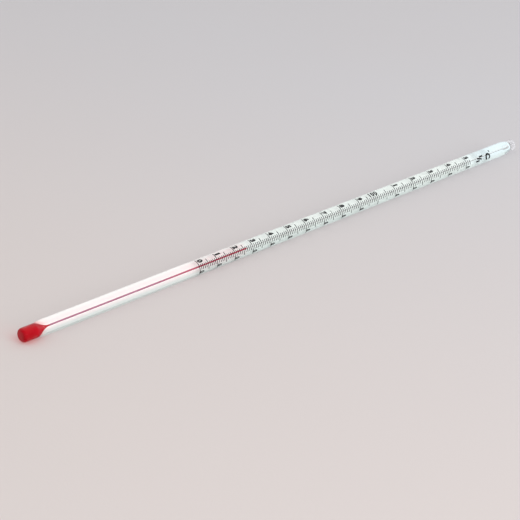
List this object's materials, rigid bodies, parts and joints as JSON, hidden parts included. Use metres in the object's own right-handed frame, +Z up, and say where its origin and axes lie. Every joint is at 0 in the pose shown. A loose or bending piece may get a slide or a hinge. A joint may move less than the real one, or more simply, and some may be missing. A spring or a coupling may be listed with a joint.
{
  "type": "laboratory thermometer",
  "caption": "Solid-stem glass laboratory thermometer with red spirit, white enamel backing, Celsius scale and a glass ring at its top, lying on its side.",
  "frame": {"origin": "under the middle of the thermometer's length, on the line where the stem rests", "axes": "+X along the stem from the bulb to the ring, +Z up, -Y the side that the scale leans towards"},
  "size_m": [0.3, 0.0065, 0.0065],
  "materials": {
    "stem_glass": "clear, fire polished, with a faint green tint",
    "bulb_glass": "clear, thin, fire polished",
    "ring_glass": "clear, fire polished",
    "white_enamel": "opaque white glass drawn into the stem",
    "red_spirit": "clear red liquid that wets the glass",
    "scale_print": "thin fired black enamel, satin"
  },
  "bodies": {
    "thermometer": {"stem": "stem_glass", "bulb": "bulb_glass", "enamel_strip": "white_enamel", "hanging_ring": "ring_glass", "bulb_spirit": "red_spirit", "spirit_thread": "red_spirit", "degree_lines": "scale_print", "five_degree_lines": "scale_print", "ten_degree_lines": "scale_print"},
    "spirit_column": {"spirit_head": "red_spirit"}
  },
  "joints": [
    {"name": "spirit_rise", "type": "slide", "parent": "thermometer", "child": "spirit_column", "axis": [1, 0, 0], "range_m": [-0.02824, 0.14195], "deforming": ["spirit_thread"]}
  ]
}
